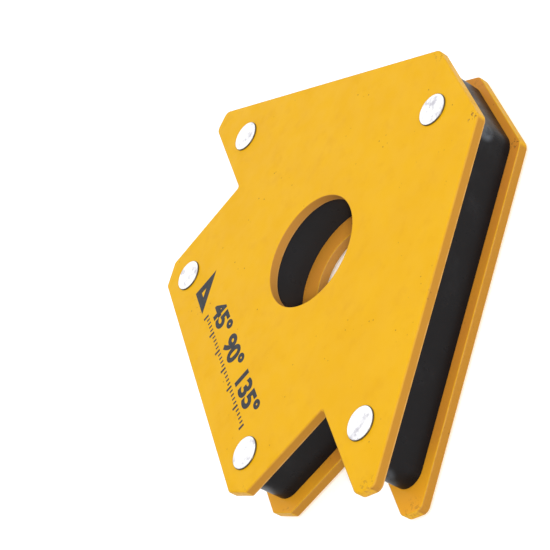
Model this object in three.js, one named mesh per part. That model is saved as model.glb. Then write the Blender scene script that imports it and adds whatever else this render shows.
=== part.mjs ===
// Arrow-shaped welding magnet holder: two steel plates riveted over a moulded
// core that holds ferrite blocks. Millimetres, +Z up. It lies flat on its lower
// rivet heads, base edge towards -Y, apex towards +Y, origin under the middle.
import * as THREE from 'three';

// Plate outline, symmetric about the Y axis; heights are taken from the base edge.
const HEIGHT = 102;                // base edge to apex edge
const BASE_HALF = 46.8;            // half width of the base block
const BASE_CHAMFER = 5;            // 45 degree corner cuts of the base
const NOTCH_HEIGHT = 33.3;         // underside of the wings
const APEX_HALF = 15.4;            // half width of the flat apex
const TIP_HALF = 78.8;             // outer corner of a wing, on the 45 degree edge
const TIP_INNER = 76;              // inner corner of a wing, on its underside
const TIP_HEIGHT = HEIGHT - (TIP_HALF - APEX_HALF);
const HOLE_HEIGHT = 46.5;          // centre of the finger hole
const FRONT_HOLE_RADIUS = 15.05;
const REAR_HOLE_RADIUS = 12.9;
const BASE_Y = -HEIGHT / 2;        // base edge in the part's own frame
const SHARP_CORNER = 0.8;          // corner radii of the outline
const TIP_INNER_CORNER = 2.2;
const TIP_OUTER_CORNER = 2;
const APEX_CORNER = 3;

// Stack through the thickness, from the lower rivet heads up.
const HEAD_HEIGHT = 0.5;
const PLATE = 2.6;
const CORE = 11.3;
const REAR_Z = HEAD_HEIGHT;
const CORE_Z = REAR_Z + PLATE;
const FRONT_Z = CORE_Z + CORE;
const TOP_Z = FRONT_Z + PLATE + HEAD_HEIGHT;
const EDGE_BREAK = 0.3;            // broken edges of the stamped plates

// Core outline, set in from the plates, and the walls around its pockets.
const CORE_SIDE_INSET = 3.7;       // from the vertical faces of the base block
const CORE_DIAGONAL_INSET = 2.85;
const CORE_END_INSET = 2;          // from the apex and the wing undersides
const CORE_BASE_INSET = 3;
const CORE_HOLE_RADIUS = 18.4;
const CORE_BASE_ROUND = 5.5;
const CORE_APEX_ROUND = 6;
const CORE_TIP_ROUND = 4.5;
const CORE_NOTCH_ROUND = 1;

// Rivets: five places, with the wing and base ones mirrored.
const RIVETS = {
  left_wing: [-61, 41.6],
  right_wing: [61, 41.6],
  left_base: [-36.4, 8.4],
  right_base: [36.4, 8.4],
  apex: [0, 92.8],
};
const SHANK_RADIUS = 2.5;
const SHANK_CLEARANCE = 0.15;
const HEAD_RADIUS = 4.25;
const HEAD_ROUND = 0.3;
const DIMPLE_RADIUS = 1.3;         // shallow centre mark left by the setting tool
const DIMPLE_DEPTH = 0.12;

// Ferrite blocks: centre, length, width and turn in degrees, right-hand side only.
const DIAGONAL_TURN = -45;
const MAGNETS = {
  base: { at: [15.8, 13.7], size: [28, 17], turn: 0 },
  side: { at: [32.8, 30.1], size: [16.4, 10.6], turn: 0 },
  wing: { at: [43.6, 42.7], size: [20.4, 9], turn: 0 },
  diagonal: { at: [24.4, 70.8], size: [42, 20], turn: DIAGONAL_TURN },
};
const POCKET_CLEARANCE = 0.3;
const BLOCK_ROUND = 1;

const ARC_STEPS = 5;
const RIM_STEPS = 3;
const HOLE_STEPS = 48;
const RIVET_STEPS = 24;

function surface(color, roughness, metalness) {
  return new THREE.MeshStandardMaterial({ color, roughness, metalness });
}

const yellowPaint = () => surface(0xf5b81f, 0.42, 0.1);
const blackPlastic = () => surface(0x242325, 0.45, 0);
const ferrite = () => surface(0x3a3a3d, 0.7, 0.2);
const brightRivet = () => surface(0xdedfe2, 0.28, 1);

const fromBase = ([x, y]) => new THREE.Vector2(x, y + BASE_Y);

// A closed outline of straight edges whose corners [x, y, radius] are rounded by arcs.
function roundedOutline(corners, PathClass = THREE.Shape) {
  const path = new PathClass();
  corners.forEach(([x, y, radius], i) => {
    const corner = fromBase([x, y]);
    const before = fromBase(corners[(i + corners.length - 1) % corners.length]);
    const after = fromBase(corners[(i + 1) % corners.length]);
    const arrive = corner.clone().sub(before).normalize();
    const leave = after.clone().sub(corner).normalize();
    const side = Math.sign(arrive.cross(leave));
    const turn = Math.acos(arrive.dot(leave));
    const start = corner.clone().addScaledVector(arrive, -radius * Math.tan(turn / 2));
    const centre = start.clone().add(new THREE.Vector2(-arrive.y, arrive.x).multiplyScalar(side * radius));
    const first = Math.atan2(start.y - centre.y, start.x - centre.x);
    for (let k = 0; k <= ARC_STEPS; k++) {
      const angle = first + side * turn * k / ARC_STEPS;
      const px = centre.x + radius * Math.cos(angle);
      const py = centre.y + radius * Math.sin(angle);
      if (i === 0 && k === 0) path.moveTo(px, py);
      else path.lineTo(px, py);
    }
  });
  path.closePath();
  return path;
}

// Right-hand corners, from the base upwards, completed by their mirror image.
function symmetricOutline(rightCorners) {
  const left = rightCorners.map(([x, y, radius]) => [-x, y, radius]).reverse();
  return roundedOutline([...rightCorners, ...left]);
}

function circlePath([x, y], radius, steps) {
  const centre = fromBase([x, y]);
  const points = [];
  for (let k = 0; k < steps; k++) {
    const angle = -2 * Math.PI * k / steps;
    points.push(new THREE.Vector2(centre.x + radius * Math.cos(angle), centre.y + radius * Math.sin(angle)));
  }
  return new THREE.Path(points);
}

function rivetHoles() {
  const radius = SHANK_RADIUS + SHANK_CLEARANCE;
  return Object.values(RIVETS).map((place) => circlePath(place, radius, RIVET_STEPS));
}

// A stamped plate: arrow outline, finger hole and rivet holes.
function plateGeometry(holeRadius) {
  const shape = symmetricOutline([
    [BASE_HALF - BASE_CHAMFER, 0, SHARP_CORNER],
    [BASE_HALF, BASE_CHAMFER, SHARP_CORNER],
    [BASE_HALF, NOTCH_HEIGHT, SHARP_CORNER],
    [TIP_INNER, NOTCH_HEIGHT, TIP_INNER_CORNER],
    [TIP_HALF, TIP_HEIGHT, TIP_OUTER_CORNER],
    [APEX_HALF, HEIGHT, APEX_CORNER],
  ]);
  shape.holes.push(circlePath([0, HOLE_HEIGHT], holeRadius, HOLE_STEPS), ...rivetHoles());
  const geometry = new THREE.ExtrudeGeometry(shape, {
    depth: PLATE - 2 * EDGE_BREAK,
    bevelEnabled: true,
    bevelThickness: EDGE_BREAK,
    bevelSize: EDGE_BREAK,
    bevelOffset: -EDGE_BREAK,
    bevelSegments: 1,
  });
  return geometry.translate(0, 0, EDGE_BREAK);
}

// A rectangle at the given place and turn, as corner points for an outline.
function turnedRectangle({ at, size, turn }, mirror, grow) {
  const angle = mirror * THREE.MathUtils.degToRad(turn);
  const half = size.map((length) => length / 2 + grow);
  const corners = [[-1, -1], [1, -1], [1, 1], [-1, 1]];
  return corners.map(([sx, sy]) => {
    const corner = new THREE.Vector2(sx * half[0], sy * half[1]).rotateAround(new THREE.Vector2(), angle);
    return [mirror * at[0] + corner.x, at[1] + corner.y, BLOCK_ROUND];
  });
}

function magnetPockets() {
  const pockets = [];
  for (const magnet of Object.values(MAGNETS)) {
    for (const mirror of [-1, 1]) {
      const corners = turnedRectangle(magnet, mirror, POCKET_CLEARANCE);
      pockets.push(roundedOutline(corners.reverse(), THREE.Path));
    }
  }
  return pockets;
}

// The moulded core: the outline set in, with open pockets for the blocks.
function coreGeometry() {
  const side = BASE_HALF - CORE_SIDE_INSET;
  const underside = NOTCH_HEIGHT + CORE_END_INSET;
  const top = HEIGHT - CORE_END_INSET;
  const diagonal = APEX_HALF + HEIGHT - CORE_DIAGONAL_INSET * Math.SQRT2;
  const shape = symmetricOutline([
    [side, CORE_BASE_INSET, CORE_BASE_ROUND],
    [side, underside, CORE_NOTCH_ROUND],
    [diagonal - underside, underside, CORE_TIP_ROUND],
    [diagonal - top, top, CORE_APEX_ROUND],
  ]);
  const fingerHole = circlePath([0, HOLE_HEIGHT], CORE_HOLE_RADIUS, HOLE_STEPS);
  shape.holes.push(fingerHole, ...rivetHoles(), ...magnetPockets());
  return new THREE.ExtrudeGeometry(shape, { depth: CORE, bevelEnabled: false });
}

function magnetGeometry(size) {
  const block = { at: [0, -BASE_Y], size, turn: 0 };
  const outline = roundedOutline(turnedRectangle(block, 1, 0));
  return new THREE.ExtrudeGeometry(outline, { depth: CORE, bevelEnabled: false });
}

// One rivet about its own axis: a flat head at each end, with a shallow centre mark.
function rivetGeometry() {
  const rim = [];
  for (let k = 0; k <= RIM_STEPS; k++) {
    const angle = (k / RIM_STEPS) * Math.PI / 2;
    rim.push([HEAD_RADIUS - HEAD_ROUND * (1 - Math.sin(angle)), HEAD_ROUND * (1 - Math.cos(angle))]);
  }
  const dimple = [[0, DIMPLE_DEPTH], [DIMPLE_RADIUS, 0]];
  const shoulder = [[HEAD_RADIUS, HEAD_HEIGHT], [SHANK_RADIUS, HEAD_HEIGHT]];
  const lower = [...dimple, ...rim, ...shoulder];
  const upper = lower.map(([r, z]) => [r, TOP_Z - z]).reverse();
  const profile = [...lower, ...upper].map(([r, z]) => new THREE.Vector2(r, z));
  return new THREE.LatheGeometry(profile, RIVET_STEPS).rotateX(Math.PI / 2);
}

function addPart(group, name, geometry, material, z = 0) {
  const mesh = new THREE.Mesh(geometry, material);
  mesh.name = name;
  mesh.position.z = z;
  group.add(mesh);
  return mesh;
}

const group = new THREE.Group();

addPart(group, 'rear_plate', plateGeometry(REAR_HOLE_RADIUS), yellowPaint(), REAR_Z);
addPart(group, 'core_housing', coreGeometry(), blackPlastic(), CORE_Z);
addPart(group, 'front_plate', plateGeometry(FRONT_HOLE_RADIUS), yellowPaint(), FRONT_Z);

for (const [name, magnet] of Object.entries(MAGNETS)) {
  for (const [label, mirror] of [['left', -1], ['right', 1]]) {
    const block = addPart(group, `${label}_${name}_magnet`, magnetGeometry(magnet.size), ferrite(), CORE_Z);
    block.position.x = mirror * magnet.at[0];
    block.position.y = BASE_Y + magnet.at[1];
    block.rotation.z = mirror * THREE.MathUtils.degToRad(magnet.turn);
  }
}

for (const [name, [x, y]] of Object.entries(RIVETS)) {
  const rivet = addPart(group, `${name}_rivet`, rivetGeometry(), brightRivet());
  rivet.position.x = x;
  rivet.position.y = BASE_Y + y;
}

export default group;
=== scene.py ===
"""Looks of the arrow-shaped welding magnet holder: painted steel plates, moulded core, set rivets
and a printed set of angle marks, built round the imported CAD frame. Metres, +Z up."""
import math

import bpy
from mathutils import Matrix, Vector, noise
from mathutils.geometry import tessellate_polygon


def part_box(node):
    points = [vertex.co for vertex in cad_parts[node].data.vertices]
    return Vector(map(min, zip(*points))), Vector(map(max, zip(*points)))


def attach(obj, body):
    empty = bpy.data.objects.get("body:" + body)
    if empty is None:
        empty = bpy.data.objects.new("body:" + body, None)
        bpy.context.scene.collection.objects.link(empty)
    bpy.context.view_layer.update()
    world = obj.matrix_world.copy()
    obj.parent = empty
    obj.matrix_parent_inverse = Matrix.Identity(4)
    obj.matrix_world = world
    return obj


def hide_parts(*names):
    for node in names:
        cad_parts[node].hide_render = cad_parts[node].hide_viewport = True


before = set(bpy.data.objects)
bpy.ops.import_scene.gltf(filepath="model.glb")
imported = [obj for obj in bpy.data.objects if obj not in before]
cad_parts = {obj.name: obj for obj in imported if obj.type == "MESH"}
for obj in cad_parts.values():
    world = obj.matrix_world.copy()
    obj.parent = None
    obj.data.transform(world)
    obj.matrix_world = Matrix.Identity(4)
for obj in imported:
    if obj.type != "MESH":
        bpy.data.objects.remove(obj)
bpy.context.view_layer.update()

MM = 0.001

# ---------------------------------------------------------------- plates, in millimetres
BASE_HALF = 46.8
BASE_CHAMFER = 5
NOTCH_HEIGHT = 33.3
APEX_HALF = 15.4
TIP_HALF = 78.8
TIP_INNER = 76
BASE_CORNER = 1.2                  # corner radii
NOTCH_CORNER = 0.8
TIP_INNER_CORNER = 2.2
TIP_OUTER_CORNER = 2
APEX_CORNER = 3
HOLE_HEIGHT = 46.5
HOLE_RADIUS = {"front_plate": 15.05, "rear_plate": 12.9}
RIVET_HOLE_RADIUS = 2.65
FACE_ROUND = 0.45                  # rolled edge of the outer face
HOLE_ROUND = 0.2                   # and round its holes
INNER_ROUND = 0.22                 # crisper edge towards the core

# ---------------------------------------------------------------- core, in millimetres
CORE_SIDE_INSET = 3.7
CORE_DIAGONAL_INSET = 2.85
CORE_END_INSET = 2
CORE_BASE_INSET = 3
CORE_BASE_ROUND = 5.5              # corner radii
CORE_NOTCH_ROUND = 1
CORE_TIP_ROUND = 4.5
CORE_APEX_ROUND = 6
CORE_HOLE_RADIUS = 18.4
CORE_EDGE_ROUND = 0.3
DIAGONAL_TURN = 45                 # degrees, of the ferrite blocks along the diagonals
POCKET_CLEARANCE = 0.3
POCKET_ROUND = 1

# ---------------------------------------------------------------- rivets, in millimetres
SHANK_RADIUS = 2.5
HEAD_HEIGHT = 0.5
HEAD_RADIUS = 4.25
HEAD_TOP = [(0, 0.11), (0.35, 0.108), (0.75, 0.095), (1.1, 0.06), (1.4, 0.025), (1.8, 0.006), (2.4, 0),
            (3.0, 0.004), (3.4, 0.018)]  # dimple and raised ring, as (radius, depth) from the axis
HEAD_RIM_WIDTH = 0.43              # the rim's rounding: across, down, and the depth where it starts
HEAD_RIM_DROP = 0.3
HEAD_RIM_DEPTH = 0.03
HEAD_FOOT_HEIGHT = 0.06            # bevel under the head
HEAD_FOOT_WIDTH = 0.05
RIM_SHADE_RADIUS = 4.1                  # the heads carry painted shade past this radius
DENT_RADIUS = 3.5                  # dents of the setting tool fade out towards this radius
DENT_FADE = 1.2
DENT_DEPTH = 0.06
DENT_SCALE = 0.9
DENT_SHIFT = (11.3, 7.1, 0)        # moves the dents' pattern from one rivet to the next

# ---------------------------------------------------------------- print on the front plate, in mm
INK = 0.03                         # ink thickness
INK_SINK = 0.01                    # how deep it reaches into the paint
FIGURES = "45° 90° 135°"
FIGURE_WEIGHT = 0.042              # thickening of the strokes, as a share of the type size
FIGURE_THICKNESS = 0.01            # any value, because the figures are stretched to the ink's thickness
FIGURE_STEPS = 6
MARKS_LEFT = -16                   # the figures' corners, from the middle and the base edge
MARKS_RIGHT = 28
MARKS_LOW = 11.6
MARKS_HIGH = 17.4
SCALE_LOW = 8.7
SCALE_HIGH = 10.6
TICKS = 30
LONG_TICK_EVERY = 5
LONG_TICK_HALF = 0.34              # half widths
SHORT_TICK_HALF = 0.25
SHORT_TICK_RISE = 0.8              # how much shorter a short one is
BADGE_LEFT = -27.6
BADGE_SIZE = 8.9
BADGE_BAR = 2                      # width of the set square's bars
BADGE_OPENING = 2

# ---------------------------------------------------------------- mesh steps
ARC_STEPS = 14
HOLE_STEPS = 144
RIVET_HOLE_STEPS = 48
LATHE_STEPS = 96
EDGE_STEPS = 6
HEAD_RIM_STEPS = 8
CAP_MARGIN = 0.4                   # flat margin kept round a cap, so that its shading stays flat
SIDE_MARGIN = 0.3                  # the painted highlight of the inner edge ends this far up the side
INNER_ROWS = 2                     # rows of a side's profile that lie on its first face

# ---------------------------------------------------------------- colours, linear
YELLOW = (0.625, 0.33, 0.002, 1)
YELLOW_DEEP = (0.58, 0.293, 0.002, 1)
YELLOW_LIGHT = (0.64, 0.344, 0.003, 1)
# inner side: orange painted for its shade and the warm light bounced between the plates; ORANGE_LIGHT and
# AMBER are its painted lit versions
ORANGE = (0.545, 0.212, 0.027, 1)
ORANGE_LIGHT = (0.66, 0.272, 0.04, 1)
AMBER = (0.70, 0.32, 0.02, 1)
# sides of the plates: darker ochre painted as shade, lighter near the finger hole
OCHRE = (0.30, 0.13, 0.018, 1)
OCHRE_LIGHT = (0.42, 0.19, 0.045, 1)
# pale painted highlight along the plates' rounded edges
PALE_EDGE = (0.52, 0.29, 0.10, 1)
WORN = (0.20, 0.085, 0.02, 1)
FLECK = (0.12, 0.055, 0.012, 1)
PLASTIC = (0.0065, 0.006, 0.0065, 1)
PLASTIC_DUSTY = (0.012, 0.0116, 0.0125, 1)
# plastic painted lighter in the finger hole, as lit
PLASTIC_IN_HOLE = (0.023, 0.0235, 0.0255, 1)
# painted highlight on the core's rounded corners
PLASTIC_HIGHLIGHT = (0.075, 0.083, 0.095, 1)
RIVET_BRIGHT = (0.72, 0.72, 0.725, 1)
RIVET_SMEARED = (0.42, 0.41, 0.45, 1)
# painted shade round the rivet heads' rims
RIVET_RIM_SHADE = (0.10, 0.075, 0.04, 1)
FERRITE_DARK = (0.03, 0.03, 0.033, 1)
FERRITE_PALE = (0.07, 0.07, 0.075, 1)
INK_DARK = (0.026, 0.0285, 0.034, 1)
INK_THIN = (0.14, 0.09, 0.02, 1)
PAPER = (0.93, 0.93, 0.93, 1)
PAPER_LIGHT = (0.96, 0.96, 0.96, 1)

# ---------------------------------------------------------------- worn places, painted light and painted shade, in mm, y from the base edge
# strength of the painted highlight on each plate's inner edge, then on the rolled outer edges
ARRIS_HIGHLIGHT = {"front_plate": 1, "rear_plate": 0.35}
OUTER_EDGE_HIGHLIGHT = 0.25
SIDE_SHADE_LIFT = 0.7                    # share of the painted side shade taken off the sides that face the apex or the base
APEX_RAMP = (0.8, 0.15)            # how squarely a side faces the apex where that starts, and over how much
BASE_RAMP = (0.25, 0.2)
HOLE_REACH = 32                    # paint and plastic are painted lighter, as lit, this near to the middle of the finger hole
FULL_REACH = 0.4                   # a local mark is at full strength in this share of its radius

# Worn places of the paint: corners that touch the bench, as (x, y, radius, depth).
WORN_PLACES = [(77.5, 36.6, 4.5, 0.35), (-14, 101.5, 3, 0.4), (14.2, 100.6, 2, 1), (46, 3.5, 3, 0.4)]
# Free ends of the plates, where the inner side is painted lighter, as lit, as (x, y, radius), on both
# sides.
PAINTED_LIGHT_ENDS = [(46, 2, 24), (78, 36, 20)]
# Rounded corners of the core with a painted highlight, as (x, y, z, radius).
HIGHLIGHT_PLACES = [(40.6, 3.9, 10, 4.2), (72.2, 36.8, 11.5, 4.4), (14, 99.7, 11.2, 3.2)]

# ---------------------------------------------------------------- camera and studio, in metres and watts
CAMERA_AT = Vector((0.35942, 0.14184, 0.25056))
CAMERA_FORWARD = Vector((-0.79032, -0.34413, -0.50692))
CAMERA_UP = Vector((-0.57279, 0.70868, 0.41192))
CAMERA_LENS = 121.72
CAMERA_SENSOR = 36
CAMERA_CLIP = (0.01, 20)
FLOOR_HALF = 4
FLOOR_GLOW = 0.12
SKY_STRENGTH = 0.54
WHITE = (1, 1, 1)
COOL_WHITE = (0.88, 0.94, 1)

# Soft lights as (name, place, size, power, colour); each one faces the origin.
SOFTBOXES = [
    ("key_softbox", (-0.78, -0.33, 0.52), (0.9, 0.8), 2.7, WHITE),
    ("top_softbox", (0.0, 0.05, 1.0), (1.1, 1.1), 4.2, WHITE),
    ("fill_softbox", (1.426, 0.575, 0.948), (0.2, 0.2), 26, WHITE),
    ("side_softbox", (0.2, 0.85, 0.25), (0.6, 0.35), 1.6, COOL_WHITE),
]


# ---------------------------------------------------------------- places from the CAD frame
def centre_of(node):
    low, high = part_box(node)
    return (low + high) / 2 / MM


plate_low, plate_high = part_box("front_plate")
HEIGHT = (plate_high.y - plate_low.y) / MM
BASE_Y = plate_low.y / MM
TIP_HEIGHT = HEIGHT - (TIP_HALF - APEX_HALF)
FRONT_FACE = plate_high.z / MM
REAR_INNER_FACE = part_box("rear_plate")[1].z / MM

RIVET_NODES = ["left_wing_rivet", "right_wing_rivet", "left_base_rivet", "right_base_rivet", "apex_rivet"]
MAGNET_NODES = [side + part + "_magnet" for part in ("base", "side", "wing", "diagonal")
                for side in ("left_", "right_")]
RIVETS = {node: centre_of(node) for node in RIVET_NODES}


def in_frame(x, y, z):
    """A place in metres, from millimetres with y taken from the base edge."""
    return (x * MM, (y + BASE_Y) * MM, z * MM)


def ramp(value, start, width):
    return max(0, min(1, (value - start) / width))


def make_camera():
    data = bpy.data.cameras.new("camera")
    data.lens = CAMERA_LENS
    data.sensor_width = CAMERA_SENSOR
    data.clip_start, data.clip_end = CAMERA_CLIP
    camera = bpy.data.objects.new("camera", data)
    bpy.context.scene.collection.objects.link(camera)
    right = CAMERA_FORWARD.cross(CAMERA_UP).normalized()
    up = right.cross(CAMERA_FORWARD).normalized()
    turn = Matrix((right, up, -CAMERA_FORWARD.normalized())).transposed()
    camera.matrix_world = Matrix.Translation(CAMERA_AT) @ turn.to_4x4()
    bpy.context.scene.camera = camera


# ---------------------------------------------------------------- outlines, in mm from the base edge
def rounded_outline(corners):
    """The points of a closed outline whose corners (x, y, radius) are rounded by arcs."""
    points = []
    for i, (x, y, radius) in enumerate(corners):
        corner = Vector((x, y))
        before = Vector(corners[i - 1][:2])
        after = Vector(corners[(i + 1) % len(corners)][:2])
        arrive = (corner - before).normalized()
        leave = (after - corner).normalized()
        side = math.copysign(1, arrive.cross(leave))
        turn = math.acos(max(-1, min(1, arrive.dot(leave))))
        start = corner - arrive * radius * math.tan(turn / 2)
        centre = start + Vector((-arrive.y, arrive.x)) * side * radius
        first = math.atan2(start.y - centre.y, start.x - centre.x)
        for k in range(ARC_STEPS + 1):
            angle = first + side * turn * k / ARC_STEPS
            points.append(centre + Vector((math.cos(angle), math.sin(angle))) * radius)
    return points


def symmetric_outline(right_corners):
    """The right-hand corners, from the base upwards, completed by their mirror image."""
    left = [(-x, y, radius) for x, y, radius in reversed(right_corners)]
    return rounded_outline(right_corners + left)


def circle(x, y, radius, steps):
    """A hole's outline, clockwise."""
    angles = [-math.tau * k / steps for k in range(steps)]
    return [Vector((x + radius * math.cos(a), y + radius * math.sin(a))) for a in angles]


def finger_hole(radius):
    return circle(0, HOLE_HEIGHT, radius, HOLE_STEPS)


def rivet_holes():
    return [circle(place.x, place.y - BASE_Y, RIVET_HOLE_RADIUS, RIVET_HOLE_STEPS)
            for place in RIVETS.values()]


def plate_outline():
    return symmetric_outline([
        (BASE_HALF - BASE_CHAMFER, 0, BASE_CORNER),
        (BASE_HALF, BASE_CHAMFER, BASE_CORNER),
        (BASE_HALF, NOTCH_HEIGHT, NOTCH_CORNER),
        (TIP_INNER, NOTCH_HEIGHT, TIP_INNER_CORNER),
        (TIP_HALF, TIP_HEIGHT, TIP_OUTER_CORNER),
        (APEX_HALF, HEIGHT, APEX_CORNER),
    ])


def core_outline():
    side = BASE_HALF - CORE_SIDE_INSET
    underside = NOTCH_HEIGHT + CORE_END_INSET
    top = HEIGHT - CORE_END_INSET
    diagonal = APEX_HALF + HEIGHT - CORE_DIAGONAL_INSET * math.sqrt(2)
    return symmetric_outline([
        (side, CORE_BASE_INSET, CORE_BASE_ROUND),
        (side, underside, CORE_NOTCH_ROUND),
        (diagonal - underside, underside, CORE_TIP_ROUND),
        (diagonal - top, top, CORE_APEX_ROUND),
    ])


def pocket_outline(node):
    """The pocket round a magnet block: its own four sides, a clearance further out."""
    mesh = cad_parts[node].data
    flat = {(round(v.co.x / MM, 3), round(v.co.y / MM, 3)) for v in mesh.vertices}
    middle = centre_of(node).to_2d()
    angle = 0
    if node.endswith("diagonal_magnet"):
        angle = math.radians(DIAGONAL_TURN if node.startswith("left") else -DIAGONAL_TURN)
    along = Vector((math.cos(angle), math.sin(angle)))
    across = Vector((-along.y, along.x))
    half_long = max((Vector(p) - middle).dot(along) for p in flat) + POCKET_CLEARANCE
    half_wide = max((Vector(p) - middle).dot(across) for p in flat) + POCKET_CLEARANCE
    middle.y -= BASE_Y
    corners = [(1, -1), (-1, -1), (-1, 1), (1, 1)]
    places = [middle + along * half_long * u + across * half_wide * v for u, v in corners]
    return rounded_outline([(p.x, p.y, POCKET_ROUND) for p in places])


# ---------------------------------------------------------------- meshes
def inward_normals(points):
    """The direction into the material at each point, long enough to keep straight sides parallel."""
    found = []
    for i, point in enumerate(points):
        before = (point - points[i - 1]).normalized()
        after = (points[(i + 1) % len(points)] - point).normalized()
        left = Vector((-before.y, before.x))
        right = Vector((-after.y, after.x))
        found.append((left + right) / (1 + left.dot(right)))
    return found


def wall_profile(inner, outer, inner_round, outer_round, inner_highlight=1):
    """(inset, z, edge, side_shade) rows up the side of a slab, from its inner face to its outer face.
    Edge marks both rounded edges for a painted highlight, the inner one as strong as asked; side_shade, the
    painted shade of the side, fades out over both."""
    out = math.copysign(1, outer - inner)
    rows = [(inner_round + CAP_MARGIN, inner, 0, 0)]
    for k in range(EDGE_STEPS + 1):
        angle = math.pi / 2 * k / EDGE_STEPS
        inset = inner_round * (1 - math.sin(angle))
        z = inner + out * inner_round * (1 - math.cos(angle))
        rows.append((inset, z, inner_highlight * math.sin(angle), k / EDGE_STEPS))
    rows.append((0, inner + out * (inner_round + SIDE_MARGIN), 0, 1))
    rows.append((0, (inner + outer) / 2, 0, 1))
    for k in range(EDGE_STEPS + 1):
        angle = math.pi / 2 * (1 - k / EDGE_STEPS)
        inset = outer_round * (1 - math.sin(angle))
        z = outer - out * outer_round * (1 - math.cos(angle))
        rows.append((inset, z, math.sin(2 * angle) * OUTER_EDGE_HIGHLIGHT, 1 - k / EDGE_STEPS))
    rows.append((outer_round + CAP_MARGIN, outer, 0, 0))
    return rows


def shade_lift_share(inward):
    """1 on the sides that face the apex or the base, where the painted side shade is lessened, else 0."""
    toward_apex = -inward.normalized().y
    return max(ramp(toward_apex, *APEX_RAMP), ramp(-toward_apex, *BASE_RAMP))


def ring_faces(first, count):
    """The sides between a closed ring of points and the next ring, from the first one's number on."""
    pairs = [(first + i, first + (i + 1) % count) for i in range(count)]
    return [(a, b, b + count, a + count) for a, b in pairs]


def cap_faces(verts, loops, facing_up):
    """Triangles that fill a flat face between loops of point numbers: its outline, then its holes."""
    faces = []
    flat = [v for loop in loops for v in loop]
    for triangle in tessellate_polygon([[Vector(verts[v]) for v in loop] for loop in loops]):
        numbers = [flat[i] for i in triangle]
        a, b, c = (Vector(verts[v]) for v in numbers)
        if ((b - a).cross(c - a).z > 0) != facing_up:
            numbers[1], numbers[2] = numbers[2], numbers[1]
        faces.append(numbers)
    return faces


def slab(name, sides):
    """A flat solid between two faces. Sides are (outline, rows) for the outer side and each hole.
    It carries three attributes: edge, for a painted highlight on the rounded edges, side_shade, for painted
    shade on the sides, and inner on the first face."""
    verts, faces, edge, side_shade, inner = [], [], [], [], []
    first_loops, last_loops = [], []
    for outline, rows in sides:
        inward = inward_normals(outline)
        count = len(outline)
        outside = outline is sides[0][0]
        first_loops.append(range(len(verts), len(verts) + count))
        for k, (inset, z, on_edge, on_side_shade) in enumerate(rows):
            if k > 0:
                faces += ring_faces(len(verts) - count, count)
            for point, normal in zip(outline, inward):
                place = point + normal * inset
                verts.append(in_frame(place.x, place.y, z))
            # painted highlight of the edges, and painted shade of the sides, lessened on outer sides that
            # face the apex or the base
            edge += [on_edge] * count
            side_shade += [on_side_shade * (1 - SIDE_SHADE_LIFT * shade_lift_share(normal) * outside) for normal in inward]
            inner += [1 if k < INNER_ROWS else 0] * count
        last_loops.append(range(len(verts) - count, len(verts)))
    rising = rows[-1][1] > rows[0][1]
    if not rising:
        faces = [tuple(reversed(face)) for face in faces]
    faces += cap_faces(verts, first_loops, not rising) + cap_faces(verts, last_loops, rising)
    mesh = bpy.data.meshes.new(name)
    mesh.from_pydata(verts, [], faces)
    for label, values in (("edge", edge), ("side_shade", side_shade), ("inner", inner)):
        add_attribute(mesh, label, values)
    return finish_mesh(name, mesh)


def lathe(name, profile, place, jitter):
    """A turned solid whose profile (radius, z) starts and ends on the axis; jitter moves its points.
    Its attribute rim marks everything past the radius of the painted rim shade."""
    verts, faces, rings, rim = [], [], [], []
    for radius, z in profile:
        count = 1 if radius == 0 else LATHE_STEPS
        rings.append([len(verts) + i for i in range(count)])
        rim += [1 if radius > RIM_SHADE_RADIUS else 0] * count
        for i in range(count):
            angle = math.tau * i / LATHE_STEPS
            point = Vector((radius * math.cos(angle), radius * math.sin(angle), z))
            verts.append((point + jitter(point)) * MM + place)
    for below, above in zip(rings, rings[1:]):
        for i in range(LATHE_STEPS):
            j = (i + 1) % LATHE_STEPS
            lower = [below[i % len(below)], below[j % len(below)]]
            upper = [above[j % len(above)], above[i % len(above)]]
            faces.append(tuple(dict.fromkeys(lower + upper)))
    mesh = bpy.data.meshes.new(name)
    mesh.from_pydata(verts, [], faces)
    add_attribute(mesh, "rim", rim)
    return finish_mesh(name, mesh)


def add_attribute(mesh, label, values):
    mesh.attributes.new(label, "FLOAT", "POINT").data.foreach_set("value", values)


def finish_mesh(name, mesh, smooth=True):
    mesh.validate()
    mesh.update()
    if smooth:
        mesh.shade_smooth()
    piece = bpy.data.objects.new(name, mesh)
    bpy.context.scene.collection.objects.link(piece)
    return piece


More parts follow.
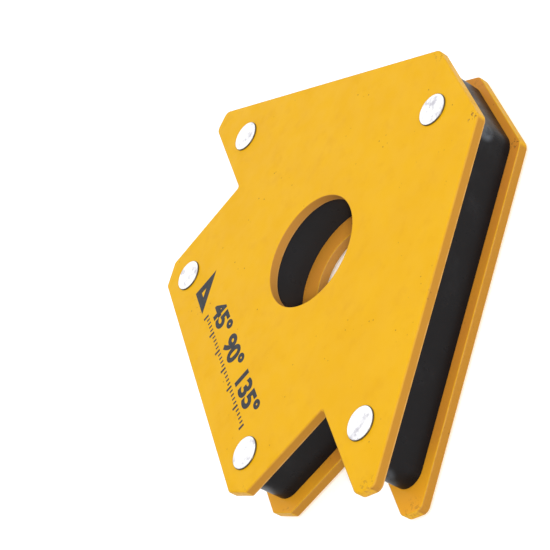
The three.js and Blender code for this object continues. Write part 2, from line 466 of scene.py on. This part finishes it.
# ---------------------------------------------------------------- materials
class Shader:
    """A Principled material being put together, with short calls for its nodes. Noise and cell
    scales are counts per metre."""

    def __init__(self, name, **constants):
        self.material = bpy.data.materials.new(name)
        self.material.use_nodes = True
        self.tree = self.material.node_tree
        self.surface = self.tree.nodes["Principled BSDF"]
        for socket, value in constants.items():
            self.surface.inputs[socket.replace("_", " ")].default_value = value
        self.place = self.add("ShaderNodeTexCoord").outputs["Object"]

    def add(self, kind, inputs=None, **settings):
        made = self.tree.nodes.new(kind)
        for key, value in settings.items():
            setattr(made, key, value)
        for socket, value in (inputs or {}).items():
            if isinstance(value, bpy.types.NodeSocket):
                self.tree.links.new(value, made.inputs[socket])
            else:
                made.inputs[socket].default_value = value
        return made

    def connect(self, socket, value):
        self.tree.links.new(value, self.surface.inputs[socket])

    def noise(self, scale, detail=3, roughness=0.55):
        inputs = {"Vector": self.place, "Scale": scale, "Detail": detail, "Roughness": roughness}
        return self.add("ShaderNodeTexNoise", inputs).outputs["Fac"]

    def cells(self, scale):
        inputs = {"Vector": self.place, "Scale": scale}
        return self.add("ShaderNodeTexVoronoi", inputs).outputs["Distance"]

    def attribute(self, name):
        return self.add("ShaderNodeAttribute", attribute_name=name).outputs["Fac"]

    def band(self, value, low, high, to_low=0.0, to_high=1.0):
        """A smooth step from one result, up to low, to another one, from high on."""
        inputs = {"Value": value, "From Min": low, "From Max": high, "To Min": to_low, "To Max": to_high}
        return self.add("ShaderNodeMapRange", inputs, interpolation_type="SMOOTHSTEP").outputs["Result"]

    def math(self, operation, a, b):
        return self.add("ShaderNodeMath", {0: a, 1: b}, operation=operation, use_clamp=True).outputs[0]

    def times(self, a, b):
        return self.math("MULTIPLY", a, b)

    def mix(self, amount, a, b):
        return self.add("ShaderNodeMix", {0: amount, 6: a, 7: b}, data_type="RGBA").outputs[2]

    def near(self, point, radius):
        """1 close to a point, given in metres, and 0 past the radius, in millimetres."""
        inputs = {0: self.place, 1: point}
        gap = self.add("ShaderNodeVectorMath", inputs, operation="DISTANCE").outputs["Value"]
        return self.band(gap, radius * MM * FULL_REACH, radius * MM, 1, 0)

    def bump(self, *layers):
        """Bump nodes one after another; each layer is (height, distance in millimetres)."""
        normal = None
        for height, distance in layers:
            inputs = {"Height": height, "Distance": distance * MM, "Strength": 1.0}
            if normal is not None:
                inputs["Normal"] = normal
            normal = self.add("ShaderNodeBump", inputs).outputs["Normal"]
        self.connect("Normal", normal)


def near_hole(s):
    """1 around the middle of the finger hole, fading out at its reach."""
    return s.near(in_frame(0, HOLE_HEIGHT, centre_of("core_housing").z), HOLE_REACH)


def worn_places(s):
    """The worn corners of the paint, on the front plate's face and the rear plate's inner face."""
    places = 0.0
    for x, y, radius, depth in WORN_PLACES:
        for z in (FRONT_FACE, REAR_INNER_FACE):
            worn = s.times(s.near(in_frame(x, y, z), radius), depth)
            places = s.math("MAXIMUM", places, worn)
    return places


def inner_painted_light(s, in_hole):
    """Orange of the inner side, painted for its shade and the warm light bounced between the plates, and
    painted lighter, as lit, in the finger hole and at the plates' free ends.
    """
    colour = s.mix(in_hole, ORANGE, ORANGE_LIGHT)
    for x, y, radius in PAINTED_LIGHT_ENDS:
        for side in (-1, 1):
            lit_end = s.near(in_frame(side * x, y, REAR_INNER_FACE), radius)
            colour = s.mix(lit_end, colour, AMBER)
    return colour


def plate_paint():
    """Yellow paint: faint orange peel and mottling, flecks and worn corners, with painted light and shade:
    an orange inner side, darker ochre sides and pale painted highlights along the edges.
    """
    s = Shader("plate_paint", Specular_IOR_Level=0.07)
    in_hole = near_hole(s)
    cloud = s.noise(70, 4)
    colour = s.mix(s.band(cloud, 0.35, 0.65), YELLOW, YELLOW_LIGHT)
    colour = s.mix(s.band(s.noise(210, 3, 0.6), 0.5, 0.78, 0, 0.45), colour, YELLOW_DEEP)
    # painted shade and bounce light: orange over the inner side
    inner_side_shade = s.times(s.attribute("inner"), s.band(cloud, 0.3, 0.7, 0.8, 1))
    colour = s.mix(inner_side_shade, colour, inner_painted_light(s, in_hole))
    # painted shade: darker ochre on the sides, painted lighter near the finger hole
    colour = s.mix(s.times(s.attribute("side_shade"), 0.9), colour, s.mix(in_hole, OCHRE, OCHRE_LIGHT))
    flecks = s.times(s.band(s.cells(560), 0.04, 0.16, 1, 0), s.band(s.noise(130, 1), 0.59, 0.65))
    colour = s.mix(s.times(flecks, 0.75), colour, FLECK)
    # painted highlight: pale along the rounded edges, broken up by noise
    painted_edge_highlight = s.times(s.attribute("edge"), s.band(s.noise(330, 5, 0.7), 0.3, 0.6))
    colour = s.mix(s.times(painted_edge_highlight, 0.6), colour, PALE_EDGE)
    chips = s.times(worn_places(s), s.band(s.noise(1100, 3, 0.7), 0.54, 0.6))
    s.connect("Base Color", s.mix(chips, colour, WORN))
    s.connect("Roughness", s.band(s.noise(260, 4), 0.3, 0.7, 0.38, 0.54))
    s.bump((s.noise(520, 2), 0.01), (s.noise(2600, 3), 0.003), (cloud, 0.012))
    return s.material


def core_plastic():
    """Moulded black plastic with a fine spark-eroded grain and faint dusty smears, painted lighter in the
    finger hole, with painted highlights on its rounded corners.
    """
    s = Shader("core_plastic", Specular_IOR_Level=0.09)
    colour = s.mix(s.band(s.noise(90, 5, 0.65), 0.5, 0.8), PLASTIC, PLASTIC_DUSTY)
    # painted lighter in the finger hole, as lit
    colour = s.mix(near_hole(s), colour, PLASTIC_IN_HOLE)
    # painted highlights on the core's rounded corners
    painted_highlight = 0.0
    for x, y, z, radius in HIGHLIGHT_PLACES:
        painted_highlight = s.math("MAXIMUM", painted_highlight, s.near(in_frame(x, y, z), radius))
    patchy_highlight = s.times(painted_highlight, s.band(s.noise(240, 4), 0.3, 0.6, 0.3, 1))
    s.connect("Base Color", s.mix(patchy_highlight, colour, PLASTIC_HIGHLIGHT))
    s.connect("Roughness", s.band(s.noise(240, 4), 0.3, 0.7, 0.26, 0.42))
    s.bump((s.noise(1800, 3, 0.6), 0.01), (s.noise(60, 3), 0.06))
    return s.material


def rivet_metal():
    """Bright aluminium, slightly uneven where the setting tool pressed it, with painted shade round the
    rim.
    """
    s = Shader("rivet_metal", Metallic=0.6)
    smears = s.band(s.noise(300, 5, 0.62), 0.5, 0.68)
    bright = s.mix(smears, RIVET_BRIGHT, RIVET_SMEARED)
    # painted shade round the rim
    s.connect("Base Color", s.mix(s.attribute("rim"), bright, RIVET_RIM_SHADE))
    s.connect("Roughness", s.band(s.noise(600, 4), 0.3, 0.7, 0.24, 0.42))
    s.bump((s.noise(900, 4, 0.6), 0.012), (s.noise(4200, 2), 0.003))
    return s.material


def ferrite():
    """Sintered dark grey ferrite with a speckled, slightly chalky surface."""
    s = Shader("ferrite", Specular_IOR_Level=0.4)
    grain = s.noise(1500, 4, 0.7)
    s.connect("Base Color", s.mix(grain, FERRITE_DARK, FERRITE_PALE))
    s.connect("Roughness", s.band(s.noise(400, 3), 0.3, 0.7, 0.6, 0.85))
    s.bump((grain, 0.02))
    return s.material


def print_ink():
    """Screen-printed dark grey ink, thin enough to break up a little."""
    s = Shader("print_ink", Specular_IOR_Level=0.15)
    thin = s.band(s.noise(1400, 4, 0.7), 0.6, 0.78, 0, 0.35)
    s.connect("Base Color", s.mix(thin, INK_DARK, INK_THIN))
    s.connect("Roughness", s.band(s.noise(700, 3), 0.3, 0.7, 0.45, 0.6))
    s.bump((s.noise(2200, 3), 0.004))
    return s.material


def floor_paper():
    """White paper over a faint light table, so that the shadows stay pale."""
    s = Shader("floor_paper", Roughness=0.9, Specular_IOR_Level=0.1, Emission_Color=(1, 1, 1, 1),
               Emission_Strength=FLOOR_GLOW)
    fibres = s.noise(900, 4)
    s.connect("Base Color", s.mix(fibres, PAPER, PAPER_LIGHT))
    s.bump((fibres, 0.01))
    return s.material


# ---------------------------------------------------------------- pieces of the object
def add_piece(piece, material, slot, *nodes):
    piece.data.materials.clear()
    piece.data.materials.append(material)
    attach(piece, "root")
    if nodes:
        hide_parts(*nodes)
    return piece


def make_plates():
    paint = plate_paint()
    for node in ("front_plate", "rear_plate"):
        faces = [corner.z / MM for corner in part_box(node)]
        if node == "rear_plate":
            faces.reverse()
        holes = [finger_hole(HOLE_RADIUS[node])] + rivet_holes()
        hole_rows = wall_profile(*faces, INNER_ROUND, HOLE_ROUND, ARRIS_HIGHLIGHT[node])
        sides = [(plate_outline(), wall_profile(*faces, INNER_ROUND, FACE_ROUND, ARRIS_HIGHLIGHT[node]))]
        sides += [(hole, hole_rows) for hole in holes]
        add_piece(slab(node + "_sheet", sides), paint, "plate_paint", node)


def make_core():
    low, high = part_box("core_housing")
    rows = wall_profile(low.z / MM, high.z / MM, CORE_EDGE_ROUND, CORE_EDGE_ROUND)
    outlines = [core_outline(), finger_hole(CORE_HOLE_RADIUS)] + rivet_holes()
    outlines += [pocket_outline(node) for node in MAGNET_NODES]
    moulding = slab("core_moulding", [(outline, rows) for outline in outlines])
    add_piece(moulding, core_plastic(), "core_plastic", "core_housing")


def head_profile():
    """(radius, depth below the head's top) from the axis to the shank."""
    points = list(HEAD_TOP)
    for k in range(HEAD_RIM_STEPS + 1):
        angle = math.pi / 2 * k / HEAD_RIM_STEPS
        radius = HEAD_RADIUS - HEAD_RIM_WIDTH * (1 - math.sin(angle))
        points.append((radius, HEAD_RIM_DEPTH + HEAD_RIM_DROP * (1 - math.cos(angle))))
    points.append((HEAD_RADIUS, HEAD_HEIGHT - HEAD_FOOT_HEIGHT))
    points.append((HEAD_RADIUS - HEAD_FOOT_WIDTH, HEAD_HEIGHT))
    points.append((SHANK_RADIUS, HEAD_HEIGHT))
    return points


def setting_dents(seed, middle):
    """Dents from the setting tool, inwards only, fading out at the rim: a shift for each point."""
    shift = Vector(step * seed for step in DENT_SHIFT)

    def jitter(point):
        fade = ramp(DENT_RADIUS - point.to_2d().length, 0, DENT_FADE)
        dent = max(0, noise.noise(point * DENT_SCALE + shift)) * DENT_DEPTH * fade
        return Vector((0, 0, dent if point.z < middle else -dent))

    return jitter


def make_rivets():
    metal = rivet_metal()
    low, high = (corner.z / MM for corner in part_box("apex_rivet"))
    lower = [(r, low + depth) for r, depth in head_profile()]
    upper = [(r, high - depth) for r, depth in reversed(head_profile())]
    for seed, (node, middle) in enumerate(RIVETS.items()):
        dents = setting_dents(seed, (low + high) / 2)
        place = Vector((middle.x, middle.y, 0)) * MM
        add_piece(lathe(node + "_set", lower + upper, place, dents), metal, "rivet_metal", node)


def dress_magnets():
    material = ferrite()
    for node in MAGNET_NODES:
        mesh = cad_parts[node].data
        mesh.materials.clear()
        mesh.materials.append(material)


# ---------------------------------------------------------------- printed angle marks
def ink_from_polygons(name, polygons):
    """A thin layer of ink over the front plate; each polygon is a list of loops, holes after the first."""
    low, high = FRONT_FACE - INK_SINK, FRONT_FACE + INK
    verts, faces = [], []
    for loops in polygons:
        bottom, top = [], []
        for loop in loops:
            first, count = len(verts), len(loop)
            verts += [in_frame(x, y, low) for x, y in loop]
            verts += [in_frame(x, y, high) for x, y in loop]
            bottom.append(range(first, first + count))
            top.append(range(first + count, first + 2 * count))
            faces += ring_faces(first, count)
        faces += cap_faces(verts, bottom, False) + cap_faces(verts, top, True)
    mesh = bpy.data.meshes.new(name)
    mesh.from_pydata(verts, [], faces)
    return finish_mesh(name, mesh, smooth=False)


def text_mesh(name, words):
    """Solid figures in the plain built-in type."""
    curve = bpy.data.curves.new(name, "FONT")
    curve.body = words
    curve.offset = FIGURE_WEIGHT
    curve.resolution_u = FIGURE_STEPS
    curve.extrude = FIGURE_THICKNESS
    text = bpy.data.objects.new(name + "_text", curve)
    bpy.context.scene.collection.objects.link(text)
    bpy.context.view_layer.update()
    mesh = bpy.data.meshes.new_from_object(text.evaluated_get(bpy.context.evaluated_depsgraph_get()))
    bpy.data.objects.remove(text)
    return mesh


def stretch_to_fill(mesh, target_low, target_high):
    """Moves a mesh's points so that it fills the box between two corners."""
    low = [min(v.co[i] for v in mesh.vertices) for i in range(3)]
    high = [max(v.co[i] for v in mesh.vertices) for i in range(3)]
    for vertex in mesh.vertices:
        share = [(vertex.co[i] - low[i]) / (high[i] - low[i]) for i in range(3)]
        vertex.co = [target_low[i] + share[i] * (target_high[i] - target_low[i]) for i in range(3)]


def make_angle_numbers(ink):
    """The angles that the holder sets, in plain figures."""
    mesh = text_mesh("angle_numbers", FIGURES)
    low_corner = in_frame(MARKS_LEFT, MARKS_LOW, FRONT_FACE - INK_SINK)
    stretch_to_fill(mesh, low_corner, in_frame(MARKS_RIGHT, MARKS_HIGH, FRONT_FACE + INK))
    add_piece(finish_mesh("angle_numbers", mesh, smooth=False), ink, "print")


def make_scale_marks(ink):
    """A short row of ruler ticks under the numbers."""
    ticks = []
    for k in range(TICKS + 1):
        x = MARKS_LEFT + k * (MARKS_RIGHT - MARKS_LEFT) / TICKS
        long = k % LONG_TICK_EVERY == 0
        low = SCALE_LOW if long else SCALE_LOW + SHORT_TICK_RISE
        half = LONG_TICK_HALF if long else SHORT_TICK_HALF
        ticks.append([[(x - half, low), (x + half, low), (x + half, SCALE_HIGH), (x - half, SCALE_HIGH)]])
    add_piece(ink_from_polygons("scale_marks", ticks), ink, "print")


def make_set_square(ink):
    """A plain set square as a badge: a right triangle with a smaller one left open inside."""
    left, low = BADGE_LEFT, SCALE_LOW
    outer = [(left, low), (left + BADGE_SIZE, low), (left, low + BADGE_SIZE)]
    left, low = left + BADGE_BAR, low + BADGE_BAR
    inner = [(left, low), (left, low + BADGE_OPENING), (left + BADGE_OPENING, low)]
    add_piece(ink_from_polygons("set_square_mark", [[outer, inner]]), ink, "print")


# ---------------------------------------------------------------- studio
def make_softbox(name, at, size, power, colour):
    data = bpy.data.lights.new(name, "AREA")
    data.shape = "RECTANGLE"
    data.size, data.size_y = size
    data.energy = power
    data.color = colour
    light = bpy.data.objects.new(name, data)
    light.location = at
    light.rotation_mode = "QUATERNION"
    light.rotation_quaternion = (-Vector(at)).to_track_quat("-Z", "Y")
    bpy.context.scene.collection.objects.link(light)


def make_floor():
    half = FLOOR_HALF
    corners = [(-half, -half, 0), (half, -half, 0), (half, half, 0), (-half, half, 0)]
    mesh = bpy.data.meshes.new("floor")
    mesh.from_pydata(corners, [], [(0, 1, 2, 3)])
    mesh.materials.append(floor_paper())
    finish_mesh("floor", mesh, smooth=False)


def make_studio():
    make_floor()
    world = bpy.data.worlds.new("studio")
    world.use_nodes = True
    sky = world.node_tree.nodes["Background"]
    sky.inputs["Color"].default_value = (1, 1, 1, 1)
    sky.inputs["Strength"].default_value = SKY_STRENGTH
    bpy.context.scene.world = world
    for softbox in SOFTBOXES:
        make_softbox(*softbox)
    bpy.context.scene.view_settings.view_transform = "Standard"


make_camera()
make_plates()
make_core()
make_rivets()
dress_magnets()
print_layer = print_ink()
make_set_square(print_layer)
make_angle_numbers(print_layer)
make_scale_marks(print_layer)
make_studio()
